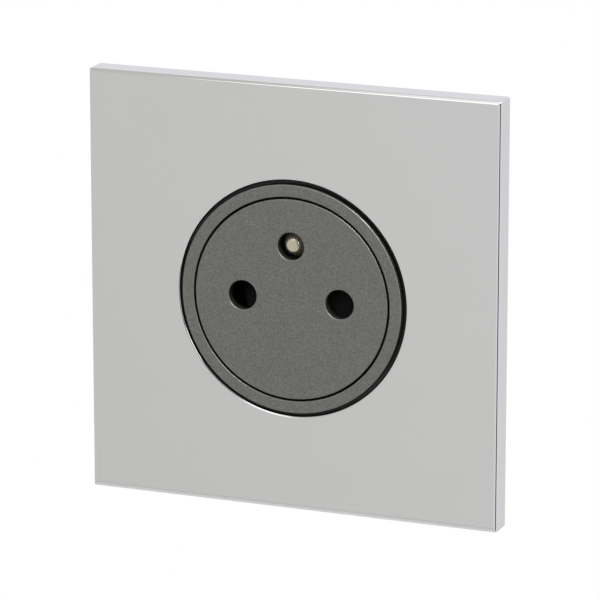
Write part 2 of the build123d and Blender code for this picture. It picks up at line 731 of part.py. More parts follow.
def make_cage(x, way, tongue_z):
    """Return a terminal cage: a brass block with a window for the wires and a hole for its screw."""
    with BuildPart() as cage:
        with BuildSketch(facing(cage_back_y)):
            middle_z = tongue_z + (tongue_to_cage + tongue_to_cage_end) / 2
            with Locations((x, way * middle_z)):
                Rectangle(2 * cage_half, tongue_to_cage_end - tongue_to_cage)
            with Locations((x, way * (tongue_z - CAGE_GAP + WINDOW_HEIGHT / 2))):
                Rectangle(WINDOW_WIDTH, WINDOW_HEIGHT, mode=Mode.SUBTRACT)
        extrude(amount=CAGE_LENGTH)
        long_edges = cage.edges().filter_by(Axis.Y).group_by(Axis.X)
        chamfer(long_edges[0] + long_edges[-1], CAGE_CHAMFER)
        with BuildSketch(Plane.XY.offset(way * (tongue_z + tongue_to_window_end))):
            with Locations((x, clamp_y)):
                Circle(CLAMP_SCREW_R + SCREW_FIT)
        extrude(amount=way * CAGE_BASE, mode=Mode.SUBTRACT)
    return cage


neutral_cage = make_cage(*terminals[0])
neutral_cage.part.label = "neutral_cage"
phase_cage = make_cage(*terminals[1])
phase_cage.part.label = "phase_cage"
earth_cage = make_cage(*terminals[2])
earth_cage.part.label = "earth_cage"


# Terminal screws: one slotted screw for each cage, its head towards the outside
with BuildPart() as terminal_screws:
    for x, way, tongue_z in terminals:
        tip_z = tongue_z + tongue_to_window_end - CLAMP_TIP
        head_z = tongue_z + tongue_to_head
        with BuildSketch(Plane.XY.offset(way * tip_z)):
            with Locations((x, clamp_y)):
                Circle(CLAMP_SCREW_R)
        extrude(amount=way * (head_z - tip_z))
        with BuildSketch(Plane.XY.offset(way * head_z)):
            with Locations((x, clamp_y)):
                Circle(CLAMP_HEAD_R)
        extrude(amount=way * CLAMP_HEAD)
        with BuildSketch(Plane.XY.offset(way * (head_z + CLAMP_HEAD - DRIVER_DEPTH))):
            with Locations((x, clamp_y)):
                Rectangle(2 * CLAMP_HEAD_R, DRIVER_SLOT)
        extrude(amount=way * DRIVER_DEPTH, mode=Mode.SUBTRACT)
terminal_screws.part.label = "terminal_screws"


# Rear base: the moulded box that holds the contacts and closes the back
with BuildPart() as rear_base:
    with BuildSketch(facing(base_back_y)):
        RectangleRounded(2 * body_half, 2 * body_half, BODY_CORNER)
    extrude(amount=base_back_y - body_back_y)
    chamfer(rear_base.faces().sort_by(Axis.Y)[-1].edges(), BASE_EDGE)
    with BuildSketch(facing(base_inside_y)):
        RectangleRounded(2 * inner_half, 2 * inner_half, BODY_CORNER - MOULD_WALL)
    extrude(amount=base_inside_y - body_back_y, mode=Mode.SUBTRACT)
    # Corner columns for the case screws
    with BuildSketch(facing(base_inside_y)):
        with GridLocations(case_screw_spread, case_screw_spread, 2, 2):
            Circle(CASE_SCREW_R + COLUMN_WALL)
    extrude(amount=base_inside_y - body_back_y)
    # Partitions that part the two live chambers from each other and from the earth
    shelf_z = EARTH_OFFSET - STRAP_HALF - RIB_GAP - PARTITION / 2
    with BuildSketch(facing(base_inside_y)):
        with Locations((0, (shelf_z - inner_half) / 2)):
            Rectangle(PARTITION, inner_half + shelf_z)
        with Locations((0, shelf_z)):
            Rectangle(2 * inner_half, PARTITION)
    extrude(amount=base_inside_y - guide_back_y)
    # Post behind the earth strap, against the pull of a plug
    with BuildSketch(facing(base_inside_y)):
        with Locations((0, shelf_z)):
            Rectangle(STRIP_WIDTH, STRAP_HALF, align=(Align.CENTER, Align.MIN))
    extrude(amount=base_inside_y - strap_back_y)
    # A pair of ribs beside each cage
    with BuildSketch(facing(base_inside_y)):
        for x, way, tongue_z in terminals:
            rib_x = cage_half + RIB_GAP + RIB_THICK / 2
            rib_start_z = tongue_z + tongue_to_cage
            with Locations((x, way * (rib_start_z + inner_half) / 2)):
                with GridLocations(2 * rib_x, 0, 2, 1):
                    Rectangle(RIB_THICK, inner_half - rib_start_z)
    extrude(amount=RIB_LENGTH)
    # Wire holes through the back, two to each terminal
    with BuildSketch(facing(base_back_y)):
        for x, way, tongue_z in terminals:
            with Locations((x, way * (tongue_z + tongue_to_wire))):
                with GridLocations(WIRE_PITCH, 0, 2, 1):
                    Circle(WIRE_HOLE_R)
    extrude(amount=MOULD_WALL, mode=Mode.SUBTRACT)
    # A funnel that leads the wires into each pair of holes
    with BuildSketch(facing(base_back_y)):
        for x, way, tongue_z in terminals:
            with Locations((x, way * (tongue_z + tongue_to_wire))):
                SlotCenterToCenter(WIRE_PITCH, 2 * (WIRE_HOLE_R + FUNNEL))
    extrude(amount=FUNNEL, taper=45, mode=Mode.SUBTRACT)
    # Screwdriver holes through the side walls
    for x, way, _ in terminals:
        with BuildSketch(Plane.XY.offset(way * inner_half)):
            with Locations((x, clamp_y)):
                Circle(CLAMP_HEAD_R + ACCESS_GAP)
        extrude(amount=way * MOULD_WALL, mode=Mode.SUBTRACT)
    # Holes and sunk seats for the case screws
    with BuildSketch(facing(base_back_y)):
        with GridLocations(case_screw_spread, case_screw_spread, 2, 2):
            Circle(CASE_SCREW_R + 2 * SCREW_FIT)
    extrude(amount=base_back_y - body_back_y, mode=Mode.SUBTRACT)
    with BuildSketch(facing(base_back_y)):
        with GridLocations(case_screw_spread, case_screw_spread, 2, 2):
            Circle(CASE_HEAD_R + HEAD_GAP)
    extrude(amount=CASE_HEAD + HEAD_SUNK, mode=Mode.SUBTRACT)
rear_base.part.label = "rear_base"


# Case screws: four, with slotted heads, from the base's back into the body's pilot holes
with BuildPart() as case_screws:
    head_y = base_back_y - CASE_HEAD - HEAD_SUNK
    with BuildSketch(facing(head_y)):
        with GridLocations(case_screw_spread, case_screw_spread, 2, 2):
            Circle(CASE_SCREW_R)
    extrude(amount=head_y - body_back_y + CASE_BITE)
    with BuildSketch(facing(head_y + CASE_HEAD)):
        with GridLocations(case_screw_spread, case_screw_spread, 2, 2):
            Circle(CASE_HEAD_R)
    extrude(amount=CASE_HEAD)
    with BuildSketch(facing(head_y + CASE_HEAD)):
        with GridLocations(case_screw_spread, case_screw_spread, 2, 2):
            Rectangle(2 * CASE_HEAD_R, DRIVER_SLOT)
    extrude(amount=DRIVER_DEPTH, mode=Mode.SUBTRACT)
case_screws.part.label = "case_screws"


os.makedirs("parts", exist_ok=True)
pieces = [
    cover_plate,
    support_frame,
    plate_carrier,
    bezel_ring,
    face_disc,
    disc_spring,
    front_body,
    shutter,
    shutter_guide,
    shutter_spring,
    earth_pin,
    earth_strap,
    neutral_contact,
    phase_contact,
    neutral_band,
    phase_band,
    neutral_cage,
    phase_cage,
    earth_cage,
    terminal_screws,
    rear_base,
    case_screws,
]
for piece in pieces:
    export_step(piece.part, f"parts/{piece.part.label}.step")
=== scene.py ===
import json
import logging
import math
from dataclasses import dataclass, field
from enum import Enum
from typing import Callable, Optional

import bmesh
import bpy
from mathutils import Matrix, Vector


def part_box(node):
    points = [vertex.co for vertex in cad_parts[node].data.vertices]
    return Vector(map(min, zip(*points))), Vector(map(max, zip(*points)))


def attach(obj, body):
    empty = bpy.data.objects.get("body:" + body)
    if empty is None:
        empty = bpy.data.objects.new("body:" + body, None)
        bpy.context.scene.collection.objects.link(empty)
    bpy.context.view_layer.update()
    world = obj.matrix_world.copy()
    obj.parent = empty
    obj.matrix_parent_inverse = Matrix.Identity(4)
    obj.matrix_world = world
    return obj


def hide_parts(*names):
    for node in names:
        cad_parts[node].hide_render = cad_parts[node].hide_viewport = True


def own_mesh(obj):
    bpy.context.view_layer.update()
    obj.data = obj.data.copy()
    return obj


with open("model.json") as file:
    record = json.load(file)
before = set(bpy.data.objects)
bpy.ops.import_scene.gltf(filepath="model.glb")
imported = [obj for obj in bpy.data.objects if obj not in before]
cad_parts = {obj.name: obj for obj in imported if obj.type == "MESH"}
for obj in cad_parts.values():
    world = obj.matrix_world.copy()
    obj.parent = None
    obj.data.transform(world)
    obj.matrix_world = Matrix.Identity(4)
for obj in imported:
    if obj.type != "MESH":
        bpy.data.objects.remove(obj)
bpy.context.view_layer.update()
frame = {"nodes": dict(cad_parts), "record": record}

LOG = logging.getLogger("wall_socket")

MM = 0.001
WHITE = (1.0, 1.0, 1.0, 1.0)
Colour = tuple[float, float, float]
Point = tuple[float, float]
Ripple = Callable[[float, float], float]
Socket = bpy.types.NodeSocket
Piece = bpy.types.Object


class Slot(Enum):
    """Material slots of the record that the pieces take their finish from."""

    CHROME = "plate_chrome"
    GRAPHITE = "graphite_paint"
    ZINC = "zinc_steel"
    SPRING = "spring_steel"
    CARRIER = "black_plastic"
    BODY = "body_plastic"
    BASE = "base_plastic"
    GUIDE = "pale_plastic"
    SHUTTER = "shutter_plastic"
    NICKEL = "nickel_brass"
    BRASS = "raw_brass"


class Body(Enum):
    """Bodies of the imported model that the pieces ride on."""

    HOUSING = "housing"
    DISC = "disc"
    SHUTTER = "shutter"


class Cut(Enum):
    """Ways of joining two solids."""

    TAKE = "DIFFERENCE"
    ADD = "UNION"


def add_node(
    tree: bpy.types.NodeTree, kind: str, inputs: Optional[dict] = None, **settings: str
) -> bpy.types.Node:
    """Add a shader node.

    Args:
        tree: where it goes.
        kind: its type, without the word that all types start with.
        inputs: by name or number, the socket that feeds an input, or else its value.
        settings: properties of the node itself, which are set first.

    Returns:
        The node.
    """
    node = tree.nodes.new("ShaderNode" + kind)
    for name, value in settings.items():
        setattr(node, name, value)
    for key, value in (inputs or {}).items():
        if isinstance(value, Socket):
            tree.links.new(value, node.inputs[key])
        else:
            node.inputs[key].default_value = value
    return node


def seen_by_camera(tree: bpy.types.NodeTree) -> Socket:
    """Return 1 for rays from the camera, also through clear pieces, and 0 for all others."""
    rays = add_node(tree, "LightPath").outputs
    inputs = {0: rays["Is Camera Ray"], 1: rays["Is Transmission Ray"]}
    return add_node(tree, "Math", inputs, operation="MAXIMUM").outputs["Value"]


def blend(tree: bpy.types.NodeTree, share: Socket, first: object, second: object) -> Socket:
    """Return a colour that goes from first to second, each a colour or a socket, as share goes up."""
    inputs = {"Factor": share, "A": first, "B": second}
    return add_node(tree, "Mix", inputs, data_type="RGBA").outputs["Result"]


class Surface:
    """A principled surface and the texture nodes that the finishes of the socket share."""

    def __init__(self, name: str, roughness: float, metallic: float = 0.0) -> None:
        """Start a material.

        Args:
            name: plain name of the finish.
            roughness: roughness where no texture changes it.
            metallic: 1 for uncoated metal, 0 for plastic.
        """
        self.material = bpy.data.materials.new(name)
        self.material.use_nodes = True
        self.tree = self.material.node_tree
        self.shader = self.tree.nodes["Principled BSDF"]
        self.shader.inputs["Roughness"].default_value = roughness
        self.shader.inputs["Metallic"].default_value = metallic
        self.place = self.node("TexCoord").outputs["Object"]

    def node(self, kind: str, inputs: Optional[dict] = None, **settings: str) -> bpy.types.Node:
        """Return a new node of this material, made by add_node."""
        return add_node(self.tree, kind, inputs, **settings)

    def feed(self, setting: str, value: Socket) -> None:
        """Let value drive a setting of the shader."""
        self.tree.links.new(value, self.shader.inputs[setting])

    def noise(self, per_mm: float, detail: float = 2.0, stretch: Colour = (1, 1, 1)) -> Socket:
        """Return a noise.

        Args:
            per_mm: cells in a millimetre.
            detail: octaves.
            stretch: how much finer the noise is along each axis.

        Returns:
            The socket with values from 0 to 1.
        """
        place = self.node("Mapping", {"Vector": self.place, "Scale": stretch}).outputs["Vector"]
        inputs = {"Vector": place, "Scale": per_mm / MM, "Detail": detail}
        return self.node("TexNoise", inputs).outputs["Fac"]

    def flakes(self, per_mm: float) -> Socket:
        """Return a grey value for each flake of a metallic paint, with that many flakes in a millimetre."""
        cells = self.node("TexVoronoi", {"Vector": self.place, "Scale": per_mm / MM})
        return self.node("SeparateColor", {"Color": cells.outputs["Color"]}).outputs["Red"]

    def spread(self, value: Socket, low: float, high: float) -> Socket:
        """Return value, stretched so that its usual range becomes low to high."""
        inputs = {"Value": value, "From Min": 0.25, "From Max": 0.75, "To Min": low, "To Max": high}
        return self.node("MapRange", inputs).outputs["Result"]

    def colour(self, value: Socket, dark: Colour, light: Colour) -> None:
        """Let value move the surface's colour from dark to light."""
        share = self.spread(value, 0, 1)
        self.feed("Base Color", blend(self.tree, share, (*dark, 1), (*light, 1)))

    def roughness(self, value: Socket, low: float, high: float) -> None:
        """Let value move the surface's roughness from low to high."""
        self.feed("Roughness", self.spread(value, low, high))

    def facing_room(self, wall: float, face: float) -> Socket:
        """Return 0 where the surface is a side wall and 1 where it faces the room.

        Args:
            wall: cosine to the room's direction up to which it counts as a wall.
            face: cosine from which it counts as a face.

        Returns:
            The socket with values from 0 to 1.
        """
        normal = self.node("TexCoord").outputs["Normal"]
        towards = self.node("VectorMath", {0: normal, 1: (0, -1, 0)}, operation="DOT_PRODUCT")
        inputs = {"Value": towards.outputs["Value"], "From Min": wall, "From Max": face}
        return self.node("MapRange", inputs).outputs["Result"]

    def show_where(self, mask: Socket, wall_shade: Colour) -> None:
        """Keep the colour so far where mask is 1, and show the second colour where it is 0. Painted shade:
        the graphite paint uses this to put a near-black shade colour on side walls.
        """
        so_far = self.shader.inputs["Base Color"].links[0].from_socket
        self.feed("Base Color", blend(self.tree, mask, (*wall_shade, 1), so_far))

    def raise_where(self, mask: Socket, setting: str, value: float) -> None:
        """Give a setting of the shader its value where mask is 1, and 0 where it is 0."""
        self.feed(setting, self.node("MapRange", {"Value": mask, "To Max": value}).outputs["Result"])

    def bump(self, value: Socket, height_mm: float) -> None:
        """Raise the surface by value, by up to height_mm."""
        node = self.node("Bump", {"Height": value, "Distance": height_mm * MM})
        self.feed("Normal", node.outputs["Normal"])


@dataclass(frozen=True)
class PolishedChrome:
    """Mirror chrome of the cover plate: near flawless, with a breath of haze and of ripple."""

    dark: Colour = (0.698, 0.698, 0.701)
    light: Colour = (0.706, 0.706, 0.709)
    haze: Point = (0.05, 0.07)

    def material(self) -> bpy.types.Material:
        """Return the finish."""
        surface = Surface("polished_chrome", roughness=self.haze[0], metallic=1.0)
        surface.colour(surface.noise(0.12), self.dark, self.light)
        surface.roughness(surface.noise(0.35, detail=4), *self.haze)
        surface.bump(surface.noise(0.09, detail=1), 0.0004)
        return surface.material


@dataclass(frozen=True)
class GraphitePaint:
    """Satin graphite paint with fine aluminium flakes, sprayed on the front faces. Painted shade: side
    walls in the gaps and holes get a near-black colour with no shine, which stands in for the shade in
    there.
    """

    dark: Colour = (0.099, 0.099, 0.092)
    light: Colour = (0.153, 0.153, 0.143)
    # Painted shade: near-black colour that stands in for the shade on side walls in the gaps and holes.
    wall_shade: Colour = (0.018, 0.017, 0.015)
    metal: float = 0.35
    flakes_per_mm: float = 7.0

    def material(self) -> bpy.types.Material:
        """Return the finish."""
        surface = Surface("graphite_paint", roughness=0.42, metallic=self.metal)
        surface.colour(surface.flakes(self.flakes_per_mm), self.dark, self.light)
        # Painted shade: where the surface turns into a side wall, it gets the near-black shade colour, with
        # no specular and no metal.
        face_without_wall_shade = surface.facing_room(0.05, 0.25)
        surface.show_where(face_without_wall_shade, self.wall_shade)
        surface.raise_where(face_without_wall_shade, "Specular IOR Level", 0.5)
        surface.raise_where(face_without_wall_shade, "Metallic", self.metal)
        surface.roughness(surface.noise(0.5, detail=3), 0.38, 0.46)
        surface.bump(surface.noise(9.0, detail=2), 0.004)
        return surface.material


@dataclass(frozen=True)
class MouldedPlastic:
    """Moulded plastic with the fine grain of an eroded mould."""

    name: str
    dark: Colour
    light: Colour
    grain_per_mm: float = 4.0
    grain_mm: float = 0.012
    shine: Point = (0.38, 0.52)
    gloss: float = 0.5

    def material(self) -> bpy.types.Material:
        """Return the finish."""
        surface = Surface(self.name, roughness=self.shine[0])
        surface.shader.inputs["Specular IOR Level"].default_value = self.gloss
        surface.colour(surface.noise(0.18, detail=3), self.dark, self.light)
        surface.roughness(surface.noise(0.6, detail=3), *self.shine)
        surface.bump(surface.noise(self.grain_per_mm, detail=3), self.grain_mm)
        return surface.material


@dataclass(frozen=True)
class PlatedSteel:
    """Zinc plated steel sheet or screws, with the dull cloud of the bath."""

    dark: Colour = (0.46, 0.47, 0.47)
    light: Colour = (0.62, 0.62, 0.60)

    def material(self) -> bpy.types.Material:
        """Return the finish."""
        surface = Surface("zinc_plate", roughness=0.3, metallic=1.0)
        surface.colour(surface.noise(0.35, detail=5), self.dark, self.light)
        surface.roughness(surface.noise(1.1, detail=4), 0.24, 0.42)
        surface.bump(surface.noise(3.0, detail=2, stretch=(1, 1, 0.15)), 0.004)
        return surface.material


@dataclass(frozen=True)
class BluedWire:
    """Spring steel, blued dark by its tempering."""

    dark: Colour = (0.020, 0.019, 0.018)
    light: Colour = (0.048, 0.045, 0.042)

    def material(self) -> bpy.types.Material:
        """Return the finish."""
        surface = Surface("blued_wire", roughness=0.3, metallic=1.0)
        surface.colour(surface.noise(1.5, detail=4), self.dark, self.light)
        surface.roughness(surface.noise(2.5, detail=3), 0.24, 0.42)
        surface.bump(surface.noise(9.0, detail=1, stretch=(1, 0.2, 1)), 0.003)
        return surface.material


@dataclass(frozen=True)
class RolledMetal:
    """Copper alloy, rolled or turned, uncoated or plated, with its grain along one way and a little
    tarnish.
    """

    name: str
    dark: Colour
    light: Colour
    grain: Colour = (1.0, 0.12, 1.0)
    haze: Point = (0.2, 0.36)
    metal: float = 1.0

    def material(self) -> bpy.types.Material:
        """Return the finish."""
        surface = Surface(self.name, roughness=self.haze[0], metallic=self.metal)
        surface.colour(surface.noise(0.5, detail=5), self.dark, self.light)
        surface.roughness(surface.noise(1.6, detail=3), *self.haze)
        surface.bump(surface.noise(6.0, detail=2, stretch=self.grain), 0.003)
        return surface.material


FINISHES = {
    Slot.CHROME: PolishedChrome(),
    Slot.GRAPHITE: GraphitePaint(),
    Slot.ZINC: PlatedSteel(),
    Slot.SPRING: BluedWire(),
    Slot.CARRIER: MouldedPlastic("carrier_plastic", (0.012, 0.012, 0.013), (0.020, 0.020, 0.021)),
    Slot.BODY: MouldedPlastic("body_plastic", (0.036, 0.036, 0.038), (0.050, 0.050, 0.053), gloss=0.05),
    Slot.BASE: MouldedPlastic("base_plastic", (0.38, 0.38, 0.36), (0.44, 0.44, 0.42)),
    Slot.GUIDE: MouldedPlastic("guide_plastic", (0.50, 0.50, 0.47), (0.58, 0.58, 0.55), grain_mm=0.008),
    Slot.SHUTTER: MouldedPlastic(
        "shutter_plastic", (0.035, 0.035, 0.037), (0.050, 0.050, 0.053), grain_mm=0.004, shine=(0.25, 0.36)
    ),
    Slot.NICKEL: RolledMetal(
        "nickel_plate", (0.52, 0.475, 0.37), (0.62, 0.57, 0.45), haze=(0.16, 0.28), metal=0.75
    ),
    Slot.BRASS: RolledMetal("rolled_brass", (0.66, 0.47, 0.22), (0.80, 0.60, 0.30)),
}


@dataclass
class Workshop:
    """Makes the finishes once, and dresses, smooths and mounts the pieces."""

    made: dict[Slot, bpy.types.Material] = field(default_factory=dict)
    seam: float = 0.002 * MM
    flat_deg: float = 0.4
    corner_deg: float = 40.0
    face_weight: int = 80

    def finish(self, slot: Slot) -> bpy.types.Material:
        """Return the material of a slot."""
        if slot not in self.made:
            self.made[slot] = FINISHES[slot].material()
        return self.made[slot]

    def smooth(self, piece: Piece, sharp_deg: float = 38.0) -> None:
        """Shade a piece smooth, with its sharp edges kept and its flat faces flat."""
        bpy.context.view_layer.update()
        piece.data.shade_smooth()
        piece.data.set_sharp_from_angle(angle=math.radians(sharp_deg))
        self.even(piece)

    def even(self, piece: Piece) -> None:
        """Let large faces rule the shading of the small roundings beside them."""
        weights = piece.modifiers.new("even_shading", "WEIGHTED_NORMAL")
        weights.keep_sharp = True
        weights.weight = self.face_weight

    def mount(self, piece: Piece, body: Body, slot: Slot, *nodes: str) -> Piece:
        """Give a new piece its finish, its body and the nodes that it stands for.

        Args:
            piece: mesh object in its place.
            body: what it moves with.
            slot: finish.
            nodes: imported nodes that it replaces.

        Returns:
            The same piece.
        """
        piece.data.materials.clear()
        piece.data.materials.append(self.finish(slot))
        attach(piece, body.value)
        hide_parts(*nodes)
        LOG.info("%s rides on %s in %s", piece.name, body.value, slot.value)
        return piece

    def soften(self, node: str, edge_mm: float, slot: Slot) -> None:
        """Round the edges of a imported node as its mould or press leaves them, and dress it.

        Args:
            node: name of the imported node.
            edge_mm: radius of the rounding.
            slot: finish.
        """
        piece = frame["nodes"][node]
        weld = piece.modifiers.new("close_seams", "WELD")
        weld.merge_threshold = self.seam
        merge = piece.modifiers.new("merge_flats", "DECIMATE")
        merge.decimate_type = "DISSOLVE"
        merge.angle_limit = math.radians(self.flat_deg)
        edge = piece.modifiers.new("edge_rounding", "BEVEL")
        edge.limit_method = "ANGLE"
        edge.angle_limit = math.radians(self.corner_deg)
        edge.width = edge_mm * MM
        edge.segments = 2
        edge.use_clamp_overlap = True
        self.even(piece)
        for place in piece.material_slots:
            place.material = self.finish(slot)
        LOG.info("%s stays, with edges of %.2f mm in %s", node, edge_mm, slot.value)


SHOP = Workshop()


def arc(centre: Point, radius: Point, start_deg: float, end_deg: float, steps: int = 6) -> list[Point]:
    """Return points along a quarter or so of an ellipse.

    Args:
        centre: middle of the ellipse, as radius from the axis and depth.
        radius: half widths of the ellipse, the same way.
        start_deg: angle of the first point.
        end_deg: angle of the last point.
        steps: number of stretches.

    Returns:
        steps + 1 points.
    """
    points = []
    for step in range(steps + 1):
        angle = math.radians(start_deg + (end_deg - start_deg) * step / steps)
        points.append((centre[0] + radius[0] * math.cos(angle), centre[1] + radius[1] * math.sin(angle)))
    return points


def lathe(profile: list[Point], steps: int = 96, ripple: Optional[Ripple] = None) -> bmesh.types.BMesh:
    """Turn a closed profile of (radius, depth) about the Y axis.

    Args:
        profile: points in order; a point on the axis has radius 0.
        steps: number of steps in a turn.
        ripple: what a point's radius gains at a depth and an angle, as on a thread.

    Returns:
        A closed mesh.
    """
    mesh = bmesh.new()
    rings = []
    for radius, depth in profile:
        if radius < 1e-9:
            rings.append([mesh.verts.new((0, depth, 0))] * steps)
            continue
        ring = []
        for step in range(steps):
            angle = math.tau * step / steps
            out = radius + (ripple(depth, angle) if ripple else 0)
            ring.append(mesh.verts.new((out * math.cos(angle), depth, out * math.sin(angle))))
        rings.append(ring)
    for first, second in zip(rings, rings[1:] + rings[:1]):
        for step in range(steps):
            after = (step + 1) % steps
            corners = [first[step], first[after], second[after], second[step]]
            distinct = list(dict.fromkeys(corners))
            if len(distinct) > 2:
                mesh.faces.new(distinct)
    bmesh.ops.recalc_face_normals(mesh, faces=mesh.faces)
    return mesh


def block(low: Vector, high: Vector) -> bmesh.types.BMesh:
    """Return a box between two corners, as a cutter or a tab."""
    mesh = bmesh.new()
    bmesh.ops.create_cube(mesh, size=1.0)
    size = high - low
    bmesh.ops.scale(mesh, vec=size, verts=mesh.verts)
    bmesh.ops.translate(mesh, vec=(low + high) / 2, verts=mesh.verts)
    return mesh


def placed(name: str, data: bpy.types.ID) -> Piece:
    """Return a new object of the scene with this data."""
    piece = bpy.data.objects.new(name, data)
    bpy.context.scene.collection.objects.link(piece)
    return piece


def as_object(name: str, mesh: bmesh.types.BMesh, place: Optional[Matrix] = None) -> Piece:
    """Return an object of a mesh, which is moved by place first."""
    if place is not None:
        mesh.transform(place)
    data = bpy.data.meshes.new(name)
    mesh.to_mesh(data)
    mesh.free()
    return placed(name, data)


def join(piece: Piece, tool: Piece, cut: Cut) -> None:
    """Cut a tool out of a piece or add it, and delete the tool."""
    modifier = piece.modifiers.new("join", "BOOLEAN")
    modifier.operation = cut.value
    modifier.solver = "EXACT"
    modifier.object = tool
    graph = bpy.context.evaluated_depsgraph_get()
    result = bpy.data.meshes.new_from_object(piece.evaluated_get(graph))
    piece.modifiers.clear()
    piece.data = result
    bpy.data.objects.remove(tool)


def wire(name: str, points: list[Vector], radius: float) -> Piece:
    """Return a round wire along points, with closed ends, as a mesh."""
    curve = bpy.data.curves.new(name, "CURVE")
    curve.dimensions = "3D"
    curve.bevel_depth = radius
    curve.bevel_resolution = 3
    curve.use_fill_caps = True
    spline = curve.splines.new("POLY")
    spline.points.add(len(points) - 1)
    for control, point in zip(spline.points, points):
        control.co = (*point, 1)
    source = placed(name + "_path", curve)
    bpy.context.view_layer.update()
    data = bpy.data.meshes.new_from_object(source.evaluated_get(bpy.context.evaluated_depsgraph_get()))
    bpy.data.objects.remove(source)
    return placed(name, data)


def mount_of(name: str) -> dict:
    """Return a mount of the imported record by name."""
    return next(m for m in frame["record"]["mounts"] if m["name"] == name)


def axis_at(x: float, z: float) -> Matrix:
    """Return the move that takes the Y axis to the line through x and z."""
    return Matrix.Translation((x, 0, z))


@dataclass
class CoverPlate:
    """The chromed tray with a round hole that covers the socket."""

    hole_gap: float = 0.65 * MM
    wall: float = 1.2 * MM
    front_round: float = 0.36 * MM
    roll_off: float = 0.5 * MM
    roll_off_deg: float = 14.0
    hole_round: float = 0.42 * MM
    corner: float = 0.45 * MM
    least_corner: float = 0.1 * MM
    support: float = 0.03 * MM
    side_steps: int = 88
    corner_steps: int = 8
    roll_steps: int = 4

    def square(self, half: float, corner: float) -> list[Point]:
        """Return the points of a square with round corners, in (x, z)."""
        points = []
        flat = half - corner
        for quarter in range(4):
            turn = math.pi / 2 * quarter
            side = [(half, -flat + 2 * flat * step / self.side_steps) for step in range(self.side_steps)]
            bend = arc((flat, flat), (corner, corner), 0, 90, self.corner_steps)[:-1]
            for x, z in side + bend:
                corner_x = x * math.cos(turn) - z * math.sin(turn)
                corner_z = x * math.sin(turn) + z * math.cos(turn)
                points.append((corner_x, corner_z))
        return points

    def edge_profile(self, front: float) -> list[Point]:
        """Return the front edge as (inset, depth): polishing has rolled it off before it turns."""
        slow = self.roll_off / math.sin(math.radians(self.roll_off_deg))
        start = self.front_round + self.roll_off
        points = [(start + self.support, front)]
        rolled = 270 - self.roll_off_deg
        points += arc((start, front + slow), (slow, slow), 270, rolled, self.roll_steps)
        inset, depth = points.pop()
        tight = self.front_round
        turn = math.radians(self.roll_off_deg)
        width = inset / (1 - math.sin(turn))
        centre = (width, depth + tight * math.cos(turn))
        return points + arc(centre, (width, tight), rolled, 180)

    def contours(self) -> list[list[Vector]]:
        """Return the closed loops of the plate's surface, from the hole outwards and back behind it."""
        low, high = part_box("cover_plate")
        half = (high.x - low.x) / 2
        front, back = low.y, high.y
        inside = front + self.wall
        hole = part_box("bezel_ring")[1].x + self.hole_gap
        outer = self.square(half, self.corner)
        spokes = [Vector((x, z)).normalized() for x, z in outer]
        rows: list[list[Vector]] = []

        def ring(radius: float, depth: float) -> None:
            """Add a round row of points."""
            rows.append([Vector((radius * s.x, depth, radius * s.y)) for s in spokes])

        def frame_row(inset: float, depth: float) -> None:
            """Add a square row of points."""
            points = self.square(half - inset, max(self.corner - inset, self.least_corner))
            rows.append([Vector((x, depth, z)) for x, z in points])

        tight = self.hole_round
        ring(hole, inside)
        for radius, depth in arc((hole + tight, front + tight), (tight, tight), 180, 270):
            ring(radius, depth)
        ring(hole + tight + self.support, front)
        for inset, depth in self.edge_profile(front):
            frame_row(inset, depth)
        frame_row(0, back)
        frame_row(self.wall, back)
        frame_row(self.wall, inside)
        return rows

    def build(self) -> None:
        """Build the plate and mount it."""
        mesh = bmesh.new()
        rows = [[mesh.verts.new(point) for point in row] for row in self.contours()]
        for first, second in zip(rows, rows[1:] + rows[:1]):
            for step, start in enumerate(first):
                after = (step + 1) % len(first)
                mesh.faces.new((start, first[after], second[after], second[step]))
        bmesh.ops.recalc_face_normals(mesh, faces=mesh.faces)
        piece = as_object("polished_cover_plate", mesh)
        SHOP.smooth(piece)
        SHOP.mount(piece, Body.HOUSING, Slot.CHROME, "cover_plate")


